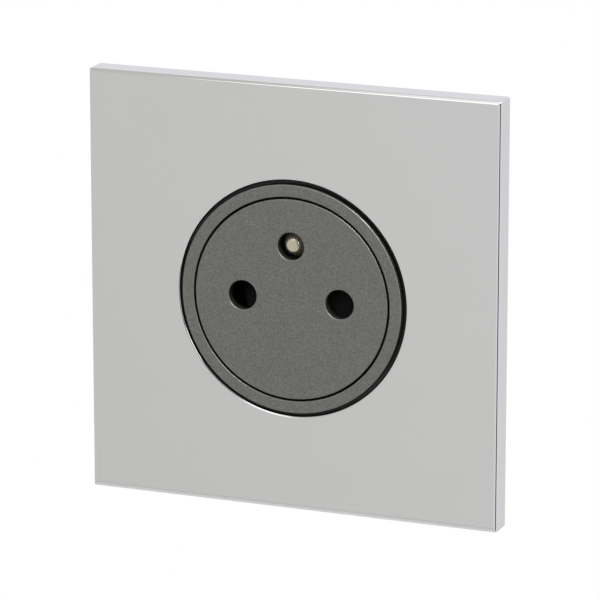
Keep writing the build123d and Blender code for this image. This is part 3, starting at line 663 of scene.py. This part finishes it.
@dataclass
class FaceInsert:
    """The ring, the disc that slides in it and the coil that pushes the disc back."""

    edge: float = 0.22 * MM
    disc_thick: float = 2.0 * MM
    skirt_wall: float = 1.2 * MM
    ring_gap: float = 0.4 * MM
    sleeve_wall: float = 1.5 * MM
    tab_width: float = 4.0 * MM
    tab_height: float = 2.0 * MM
    tab_side_gap: float = 0.3 * MM
    tab_end_gap: float = 0.05 * MM
    earth_gap: float = 0.175 * MM
    lug_width: float = 5.0 * MM
    lug_length: float = 3.0 * MM
    lug_reach: float = 0.7 * MM
    lug_depth: float = 7.0 * MM
    lug_overlap: float = 0.05 * MM
    wire_radius: float = 0.4 * MM
    coil_turns: float = 3.2
    turn_pitch: float = 0.9 * MM
    turn_steps: int = 48
    closed_turn: float = 0.75
    flattest: float = 0.04
    steps: int = 160
    hole_steps: int = 64
    tabs: int = 3

    def radial_block(self, angle_deg: float, inner: float, outer: float, width: float, near: float,
                     far: float) -> bmesh.types.BMesh:
        """Return a box that stands out from the Y axis.

        Args:
            angle_deg: direction in X and Z.
            inner: radius where it starts.
            outer: radius where it ends.
            width: size across.
            near: depth of its front.
            far: depth of its back.

        Returns:
            The box's mesh.
        """
        mesh = block(Vector((inner, near, -width / 2)), Vector((outer, far, width / 2)))
        mesh.transform(Matrix.Rotation(-math.radians(angle_deg), 4, "Y"))
        return mesh

    def tab_angles(self) -> list[float]:
        """Return the directions of the stop tabs, the first one straight down."""
        return [-90 + 360 / self.tabs * number for number in range(self.tabs)]

    def build_ring(self) -> None:
        """Build the ring with its slotted sleeve and snap lugs."""
        low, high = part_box("bezel_ring")
        ring_r = high.z
        well_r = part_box("face_disc")[1].x + self.ring_gap
        sleeve_r = well_r + self.sleeve_wall
        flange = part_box("front_body")[0].y
        edge = self.edge
        profile = [(well_r, high.y)]
        profile += arc((well_r + edge, low.y + edge), (edge, edge), 180, 270)
        profile += arc((ring_r - edge, low.y + edge), (edge, edge), 270, 360)
        profile += [(ring_r, flange), (sleeve_r, flange), (sleeve_r, high.y)]
        piece = as_object("face_ring", lathe(profile, self.steps))
        tab_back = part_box("face_disc")[1].y
        for angle in self.tab_angles():
            slot = self.radial_block(
                angle,
                well_r - self.ring_gap,
                sleeve_r + self.ring_gap,
                self.tab_width + 2 * self.tab_side_gap,
                tab_back - self.tab_height - self.tab_end_gap,
                high.y + self.ring_gap,
            )
            join(piece, as_object("slot", slot), Cut.TAKE)
        for side in (0, 180):
            lug = self.radial_block(
                side,
                sleeve_r - self.sleeve_wall / 2,
                sleeve_r + self.lug_reach,
                self.lug_width,
                self.lug_depth - self.lug_length,
                self.lug_depth,
            )
            for vertex in lug.verts:
                at_back = vertex.co.y > self.lug_depth - self.lug_length / 2
                if at_back and abs(vertex.co.x) > sleeve_r:
                    vertex.co.x = math.copysign(sleeve_r - self.lug_overlap, vertex.co.x)
            join(piece, as_object("lug", lug), Cut.ADD)
        SHOP.smooth(piece)
        SHOP.mount(piece, Body.HOUSING, Slot.GRAPHITE, "bezel_ring")

    def build_disc(self) -> None:
        """Build the disc as a cup with its skirt, stop tabs and three round-edged holes."""
        low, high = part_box("face_disc")
        disc_r, front, back = high.x, low.y, high.y
        edge = self.edge
        floor = front + self.disc_thick
        inner = disc_r - self.skirt_wall
        profile = [(0, front)]
        profile += arc((disc_r - edge, front + edge), (edge, edge), 270, 360)
        profile += [(disc_r, back), (inner, back)]
        profile += arc((inner - edge, floor + edge), (edge, edge), 0, -90)
        profile += [(0, floor)]
        piece = as_object("face_disc_finished", lathe(profile, self.steps))
        for angle in self.tab_angles():
            tab = self.radial_block(
                angle, inner + self.skirt_wall / 2, -low.z, self.tab_width, back - self.tab_height, back
            )
            join(piece, as_object("tab", tab), Cut.ADD)
        holes = [mount_of("live_hole_left"), mount_of("live_hole_right")]
        places = [(m["pos_m"][0], m["pos_m"][2], m["dims"]["r_mm"] * MM) for m in holes]
        earth = mount_of("earth_pin")
        places.append((earth["pos_m"][0], earth["pos_m"][2], earth["dims"]["r_mm"] * MM + self.earth_gap))
        for x, z, radius in places:
            profile = [(0, floor + MM), (radius, floor + MM)]
            profile += arc((radius + edge, front + edge), (edge, edge), 180, 262)
            profile += [(radius + 2 * edge, front - edge), (0, front - edge)]
            join(piece, as_object("hole", lathe(profile, self.hole_steps), axis_at(x, z)), Cut.TAKE)
        SHOP.smooth(piece)
        SHOP.mount(piece, Body.DISC, Slot.GRAPHITE, "face_disc")

    def build_spring(self) -> None:
        """Build the conical coil with closed ends. The real coil is pressed flat as the disc goes in; this
        mesh rides on the housing and keeps its shape.
        """
        low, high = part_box("disc_spring")
        wire_r = self.wire_radius
        big = (high.x - low.x) / 2 - 2 * wire_r
        small = big - self.coil_turns * self.turn_pitch
        start, end = high.y - wire_r, low.y + wire_r
        points = []
        count = round(self.coil_turns * self.turn_steps)
        for step in range(count + 1):
            share = step / count
            rising = (share * self.coil_turns - self.closed_turn / 2) / (self.coil_turns - self.closed_turn)
            rise = min(max(rising, 0), 1)
            rise = (rise * rise * (3 - 2 * rise) + rise) / 2
            radius = small + (big - small) * share
            angle = math.tau * self.coil_turns * share
            points.append(
                Vector((radius * math.cos(angle), start + (end - start) * rise, radius * math.sin(angle)))
            )
        piece = wire("disc_return_spring", points, wire_r)
        SHOP.smooth(piece)
        SHOP.mount(piece, Body.HOUSING, Slot.SPRING, "disc_spring")
        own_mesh(piece)

    def build(self) -> None:
        """Build the ring, the disc and the spring."""
        self.build_ring()
        self.build_disc()
        self.build_spring()


@dataclass
class EarthLine:
    """The earth pin with its flat tip and cone, and the strap and cage of its terminal."""

    pin_r: float = 2.4 * MM
    rim_r: float = 1.5 * MM
    rim_drop: float = 0.39 * MM
    rim_round: float = 0.8 * MM
    tip_length: float = 1.9 * MM
    shoulder_r: float = 1.2 * MM
    collar_r: float = 3.6 * MM
    collar_thick: float = 1.2 * MM
    strap_thick: float = 0.8 * MM
    tail_r: float = 1.45 * MM
    turned_edge: float = 0.12 * MM
    rim_steps: int = 10
    strap_edge_mm: float = 0.12
    cage_edge_mm: float = 0.2

    def build(self) -> None:
        """Turn the pin in one piece and dress the strap."""
        low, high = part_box("earth_pin")
        x, z = (low.x + high.x) / 2, (low.z + high.z) / 2
        tip, tail = low.y, high.y
        collar_back = tail - self.strap_thick
        collar = collar_back - self.collar_thick
        edge = self.turned_edge
        cone = math.atan2(self.tip_length - self.rim_drop, self.pin_r - self.rim_r)
        middle = (self.rim_r - self.rim_round * math.sin(cone), tip + self.rim_round)
        profile = [(0, tip), (middle[0] - edge / 4, tip)]
        cone_deg = math.degrees(cone) - 90
        profile += arc(middle, (self.rim_round, self.rim_round), -90, cone_deg, self.rim_steps)
        back = self.shoulder_r * math.tan((math.pi / 2 - cone) / 2)
        profile += arc(
            (self.pin_r - self.shoulder_r, tip + self.tip_length + back),
            (self.shoulder_r, self.shoulder_r),
            cone_deg,
            0,
        )
        profile += [(self.pin_r, collar), (self.collar_r - edge, collar), (self.collar_r, collar + edge)]
        profile += [(self.collar_r, collar_back - edge), (self.collar_r - edge, collar_back)]
        profile += [(self.tail_r, collar_back), (self.tail_r, tail - edge)]
        profile += [(self.tail_r - edge, tail), (0, tail)]
        piece = as_object("turned_earth_pin", lathe(profile), axis_at(x, z))
        SHOP.smooth(piece, 30)
        SHOP.mount(piece, Body.HOUSING, Slot.NICKEL, "earth_pin")
        SHOP.soften("earth_strap", self.strap_edge_mm, Slot.BRASS)
        SHOP.soften("earth_cage", self.cage_edge_mm, Slot.NICKEL)


@dataclass
class ShutterSet:
    """The shutter, its guide plate and the small coil between them."""

    wire_radius: float = 0.2 * MM
    turns: float = 6.0
    turn_steps: int = 28
    closed_share: float = 0.08
    shutter_edge_mm: float = 0.2
    guide_edge_mm: float = 0.15

    def build_spring(self) -> None:
        """Build the small coil. The shutter presses the real coil together; this mesh rides on the housing
        and keeps its shape.
        """
        low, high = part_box("shutter_spring")
        centre = (low + high) / 2
        radius = (high.x - low.x) / 2 - self.wire_radius
        start, end = low.z + self.wire_radius, high.z - self.wire_radius
        count = round(self.turns * self.turn_steps)
        points = []
        for step in range(count + 1):
            share = step / count
            angle = math.tau * self.turns * share
            risen = min(max(share * (1 + 2 * self.closed_share) - self.closed_share, 0), 1)
            rise = start + (end - start) * risen
            points.append(
                Vector((centre.x + radius * math.cos(angle), centre.y + radius * math.sin(angle), rise))
            )
        piece = wire("shutter_return_spring", points, self.wire_radius)
        SHOP.smooth(piece)
        SHOP.mount(piece, Body.HOUSING, Slot.SPRING, "shutter_spring")
        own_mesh(piece)

    def build(self) -> None:
        """Dress the mouldings and build the coil."""
        SHOP.soften("shutter", self.shutter_edge_mm, Slot.SHUTTER)
        SHOP.soften("shutter_guide", self.guide_edge_mm, Slot.GUIDE)
        self.build_spring()


@dataclass
class LiveContacts:
    """The bent clips for the live pins, their bands and their terminal cages."""

    sheet_edge_mm: float = 0.15
    cage_edge_mm: float = 0.2

    def build(self) -> None:
        """Dress the clips, bands and cages of both poles."""
        for pole in ("neutral", "phase"):
            SHOP.soften(f"{pole}_contact", self.sheet_edge_mm, Slot.BRASS)
            SHOP.soften(f"{pole}_band", self.sheet_edge_mm / 2, Slot.SPRING)
            SHOP.soften(f"{pole}_cage", self.cage_edge_mm, Slot.NICKEL)


@dataclass
class SlottedScrew:
    """One slotted screw with a domed head and a real thread, made head up along -Y."""

    shank_r: float
    head_r: float
    head: float
    length: float
    pitch: float
    slot_width: float = 0.9 * MM
    slot_depth: float = 1.1 * MM
    cone: float = 1.2 * MM
    bevel: float = 0.1 * MM
    edge_share: float = 0.25
    crown: Point = (0.72, 0.97)
    rim_share: float = 0.9
    tip_share: float = 0.55
    thread_share: float = 0.45
    steps: int = 28
    rings_per_pitch: int = 6

    def thread(self, depth: float, angle: float) -> float:
        """Return what the thread takes off the shank's radius at a depth and an angle."""
        if depth < 0:
            return 0.0
        phase = (depth / self.pitch - angle / math.tau) % 1.0
        fade = min(depth / self.pitch, 1.0)
        return -self.pitch * self.thread_share * abs(2 * phase - 1) * fade

    def shape(self) -> bmesh.types.BMesh:
        """Return the screw with its head below zero depth and its shank above it."""
        edge = self.head * self.edge_share
        profile = [(0, -self.head), (self.head_r * self.crown[0], -self.head * self.crown[1])]
        rim = edge - self.head * self.rim_share
        profile += arc((self.head_r - edge, rim), (edge, edge), 290, 360, 5)
        profile += [(self.head_r, -self.bevel), (self.head_r - self.bevel, 0)]
        threaded = self.length - self.cone
        count = round(threaded / self.pitch * self.rings_per_pitch)
        first = 0.01
        for number in range(count + 1):
            profile.append((self.shank_r, threaded * (number + first) / (count + first)))
        profile += [(self.shank_r * self.tip_share, self.length), (0, self.length)]
        return lathe(profile, self.steps, self.thread)

    def build(self, name: str, place: Matrix) -> Piece:
        """Return the screw with its slot cut, moved by place."""
        piece = as_object(name, self.shape())
        slot = block(
            Vector((-self.head_r - MM, -self.head - MM, -self.slot_width / 2)),
            Vector((self.head_r + MM, -self.head + self.slot_depth, self.slot_width / 2)),
        )
        join(piece, as_object("slot", slot), Cut.TAKE)
        piece.data.transform(place)
        return piece


@dataclass
class ScrewSet:
    """The three terminal screws and the four screws of the case."""

    clamp_head: float = 2.4 * MM
    clamp_head_r: float = 2.9 * MM
    clamp_r: float = 1.75 * MM
    case_head: float = 1.8 * MM
    case_head_r: float = 2.6 * MM
    case_r: float = 1.45 * MM
    cage_wall: float = 1.1 * MM
    cage_window: float = 4.9 * MM
    clamp_reach: float = 0.4 * MM
    clamp_pitch: float = 0.6 * MM
    case_pitch: float = 1.0 * MM
    slot_turns_deg: tuple[float, ...] = (12, -38, 71, 24)

    def gather(self, name: str, screws: list[Piece], node: str) -> None:
        """Join several screws to one piece and mount it."""
        mesh = bmesh.new()
        for screw in screws:
            mesh.from_mesh(screw.data)
            bpy.data.objects.remove(screw)
        piece = as_object(name, mesh)
        SHOP.smooth(piece, 32)
        SHOP.mount(piece, Body.HOUSING, Slot.ZINC, node)

    def build_case_screws(self) -> None:
        """Build the four screws that come in from the back."""
        low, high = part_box("case_screws")
        spread_x = (high.x - low.x) / 2 - self.case_head_r
        spread_z = (high.z - low.z) / 2 - self.case_head_r
        length = high.y - low.y - self.case_head
        screw = SlottedScrew(self.case_r, self.case_head_r, self.case_head, length, self.case_pitch)
        made = []
        corners = [(1, 1), (-1, 1), (-1, -1), (1, -1)]
        for (side_x, side_z), turn in zip(corners, self.slot_turns_deg):
            place = Matrix.Translation((side_x * spread_x, high.y - self.case_head, side_z * spread_z))
            place = place @ Matrix.Rotation(math.pi, 4, "X") @ Matrix.Rotation(math.radians(turn), 4, "Y")
            made.append(screw.build("case_screw", place))
        self.gather("slotted_case_screws", made, "case_screws")

    def build_clamp_screws(self) -> None:
        """Build the screw of each terminal, its head towards the outside."""
        low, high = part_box("terminal_screws")
        depth = (low.y + high.y) / 2
        made = []
        rows = [("neutral", -1, low.z), ("phase", -1, low.z), ("earth", 1, high.z)]
        for (pole, way, end), turn in zip(rows, self.slot_turns_deg):
            cage_low, cage_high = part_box(f"{pole}_cage")
            x = (cage_low.x + cage_high.x) / 2
            seat = end - way * self.clamp_head
            inner = cage_low.z if way > 0 else cage_high.z
            length = abs(seat - inner) - self.cage_wall - self.cage_window + self.clamp_reach
            screw = SlottedScrew(
                self.clamp_r,
                self.clamp_head_r,
                self.clamp_head,
                length,
                self.clamp_pitch,
                cone=self.clamp_reach,
            )
            place = Matrix.Translation((x, depth, seat)) @ Matrix.Rotation(way * -math.pi / 2, 4, "X")
            place = place @ Matrix.Rotation(math.radians(turn), 4, "Y")
            made.append(screw.build(f"{pole}_screw", place))
        self.gather("slotted_terminal_screws", made, "terminal_screws")

    def build(self) -> None:
        """Build both sets of screws."""
        self.build_case_screws()
        self.build_clamp_screws()


@dataclass
class Housing:
    """The pressed frame and the mouldings that carry the rest."""

    thin_edge_mm: float = 0.15
    mould_edge_mm: float = 0.2

    def build(self) -> None:
        """Dress each of them."""
        SHOP.soften("support_frame", self.thin_edge_mm, Slot.ZINC)
        SHOP.soften("plate_carrier", self.thin_edge_mm, Slot.CARRIER)
        SHOP.soften("front_body", self.mould_edge_mm, Slot.BODY)
        SHOP.soften("rear_base", self.mould_edge_mm, Slot.BASE)


@dataclass(frozen=True)
class Card:
    """A patch of the studio that the polished plate mirrors.

    Args:
        towards: direction of its middle, as seen from the socket.
        full_deg: half angle inside which it has its full shade.
        end_deg: half angle where it has faded into the white studio.
        shade: its colour.
        far_shade: its colour at the end that lies to the right and up, where it has a gradient.
    """

    towards: Colour
    full_deg: float
    end_deg: float
    shade: Colour
    far_shade: Optional[Colour] = None


@dataclass(frozen=True)
class Lamp:
    """A square lamp that faces the socket.

    Args:
        name: plain name.
        place: where it hangs.
        size: its side.
        watts: its power.
        mirrored: whether polished metal shows it.
    """

    name: str
    place: Colour
    size: float
    watts: float
    mirrored: bool = True


@dataclass
class Studio:
    """Floor, lights, surroundings and camera."""

    floor_z: float = -0.5
    floor_r: float = 1.2
    lens_mm: float = 263.26
    sensor_mm: float = 36.0
    yaw_deg: float = 21.712
    pitch_deg: float = 14.888
    distance: float = 803.35 * MM
    slide: Point = (-0.146 * MM, -1.213 * MM)
    daylight: float = 0.5
    floor_grey: float = 0.62
    floor_glow: float = 0.7
    gradient: Colour = (1.0, 0.0, 0.6)
    gradient_half: float = 0.06
    cards: tuple[Card, ...] = (
        Card((-0.359, -0.898, -0.256), 14, 24, (0.725, 0.723, 0.700), (0.79, 0.79, 0.782)),
        Card((0.359, 0.898, -0.256), 10, 40, (0.83, 0.83, 0.84)),
        Card((-0.359, 0.898, 0.256), 14, 40, (0.886, 0.877, 0.914)),
        Card((0.14, -0.957, -0.256), 5, 12, (0.90, 0.90, 0.98)),
        Card((0.35, -0.90, 0.25), 26, 30, (0.22, 0.22, 0.24)),
        Card((0.85, -0.45, -0.26), 22, 28, (0.85, 0.85, 0.95)),
        Card((0.64, -0.72, 0.28), 10, 12, (2.6, 2.6, 2.6)),
        Card((0.377, -0.889, -0.26), 11, 14.5, (0.01, 0.01, 0.012)),
        Card((0.36, -0.93, 0.02), 10, 13.5, (0.01, 0.01, 0.012)),
        Card((-0.85, -0.45, -0.26), 30, 36, (0.74, 0.74, 0.72)),
        Card((-0.42, -0.86, 0.30), 20, 25, (0.68, 0.68, 0.65)),
        Card((-0.50, -0.45, 0.74), 26, 32, (0.66, 0.66, 0.64)),
        Card((-0.28, -0.95, 0.09), 5.5, 7, (1.6, 1.6, 1.6)),
        Card((-0.21, -0.90, 0.36), 8, 9.5, (1.6, 1.6, 1.6)),
        Card((-0.14, -0.70, 0.70), 12, 14, (1.6, 1.6, 1.6)),
    )
    lamps: tuple[Lamp, ...] = (
        Lamp("key_lamp", (0.55, -0.22, 0.75), 0.3, 14.0),
        Lamp("fill_lamp", (-0.7, -0.8, 0.2), 0.8, 3.0, mirrored=False),
        Lamp("front_lamp", (0.30, -0.85, 0.30), 0.12, 1.2, mirrored=False),
        Lamp("rear_lamp", (-0.4, 0.8, 0.5), 0.6, 4.5, mirrored=False),
    )

    def build_world(self) -> None:
        """Make white surroundings with grey cards in them, and an even light for matt surfaces."""
        world = bpy.data.worlds.new("studio")
        bpy.context.scene.world = world
        world.use_nodes = True
        tree = world.node_tree
        tree.nodes.clear()
        direction = add_node(tree, "TexCoord").outputs["Generated"]
        shade = add_node(tree, "RGB").outputs["Color"]
        shade.default_value = WHITE
        for card in self.cards:
            shade = self.add_card(tree, direction, shade, card)
        mirrored = add_node(tree, "Background", {"Color": shade}).outputs[0]
        lit = add_node(tree, "Background", {"Color": WHITE, "Strength": self.daylight}).outputs[0]
        plain = add_node(tree, "Background", {"Color": WHITE}).outputs[0]
        glossy = add_node(tree, "LightPath").outputs["Is Glossy Ray"]
        light = add_node(tree, "MixShader", {"Fac": glossy, 1: lit, 2: mirrored}).outputs[0]
        inputs = {"Fac": seen_by_camera(tree), 1: light, 2: plain}
        surface = add_node(tree, "MixShader", inputs).outputs[0]
        add_node(tree, "OutputWorld", {"Surface": surface})

    def add_card(
        self, tree: bpy.types.NodeTree, direction: Socket, behind: Socket, card: Card
    ) -> Socket:
        """Lay a card over what is behind it.

        Args:
            tree: nodes of the surroundings.
            direction: where a ray goes.
            behind: colour without the card.
            card: what is laid over it.

        Returns:
            The colour with the card.
        """
        along = Vector(card.towards).normalized()
        near = add_node(tree, "VectorMath", {0: direction, 1: along}, operation="DOT_PRODUCT")
        edge = {
            "Value": near.outputs["Value"],
            "From Min": math.cos(math.radians(card.end_deg)),
            "From Max": math.cos(math.radians(card.full_deg)),
        }
        cover = add_node(tree, "MapRange", edge, interpolation_type="SMOOTHSTEP").outputs["Result"]
        shade = (*card.shade, 1)
        if card.far_shade is not None:
            rise = Vector(self.gradient)
            across = (rise - along * along.dot(rise)).normalized()
            slope = add_node(tree, "VectorMath", {0: direction, 1: across}, operation="DOT_PRODUCT")
            ends = {
                "Value": slope.outputs["Value"],
                "From Min": -self.gradient_half,
                "From Max": self.gradient_half,
            }
            share = add_node(tree, "MapRange", ends).outputs["Result"]
            shade = blend(tree, share, shade, (*card.far_shade, 1))
        return blend(tree, cover, behind, shade)

    def build_floor(self) -> None:
        """Lay a pale round floor well below the socket, white to the camera where it is lit."""
        mesh = bmesh.new()
        bmesh.ops.create_circle(mesh, cap_ends=True, segments=96, radius=self.floor_r)
        floor = as_object("studio_floor", mesh, Matrix.Translation((0, 0, self.floor_z)))
        material = bpy.data.materials.new("studio_floor")
        material.use_nodes = True
        tree = material.node_tree
        shader = tree.nodes["Principled BSDF"]
        shader.inputs["Base Color"].default_value = (*[self.floor_grey] * 3, 1)
        shader.inputs["Roughness"].default_value = 0.9
        shader.inputs["Emission Color"].default_value = WHITE
        glow = add_node(tree, "Math", {0: seen_by_camera(tree), 1: self.floor_glow}, operation="MULTIPLY")
        tree.links.new(glow.outputs["Value"], shader.inputs["Emission Strength"])
        floor.data.materials.append(material)

    def hang_lamp(self, lamp: Lamp) -> None:
        """Hang a lamp so that it faces the socket."""
        light = bpy.data.lights.new(lamp.name, "AREA")
        light.size = lamp.size
        light.energy = lamp.watts
        piece = placed(lamp.name, light)
        piece.location = lamp.place
        piece.rotation_mode = "QUATERNION"
        piece.rotation_quaternion = (-Vector(lamp.place)).to_track_quat("-Z", "Y")
        piece.visible_glossy = lamp.mirrored

    def build_camera(self) -> None:
        """Set the camera where the photograph was taken from."""
        yaw, pitch = math.radians(self.yaw_deg), math.radians(self.pitch_deg)
        back = Vector((math.sin(yaw) * math.cos(pitch), -math.cos(yaw) * math.cos(pitch), math.sin(pitch)))
        right = Vector((math.cos(yaw), math.sin(yaw), 0))
        up = back.cross(right)
        data = bpy.data.cameras.new("camera")
        data.lens = self.lens_mm
        data.sensor_width = self.sensor_mm
        camera = placed("camera", data)
        camera.location = back * self.distance + right * self.slide[0] + up * self.slide[1]
        camera.rotation_mode = "QUATERNION"
        camera.rotation_quaternion = Matrix((right, up, back)).transposed().to_quaternion()
        bpy.context.scene.camera = camera

    def build(self) -> None:
        """Set up the whole studio."""
        bpy.context.scene.view_settings.view_transform = "Standard"
        self.build_world()
        self.build_floor()
        for lamp in self.lamps:
            self.hang_lamp(lamp)
        self.build_camera()
        LOG.info("studio is lit")


def main() -> None:
    """Build the socket and the studio in order."""
    logging.basicConfig(level=logging.INFO, format="%(name)s: %(message)s")
    Studio().build()
    for assembly in (
        CoverPlate(),
        FaceInsert(),
        EarthLine(),
        ShutterSet(),
        LiveContacts(),
        ScrewSet(),
        Housing(),
    ):
        assembly.build()
        LOG.info("%s is done", type(assembly).__name__)
    bpy.context.view_layer.update()


if __name__ == "__main__":
    main()
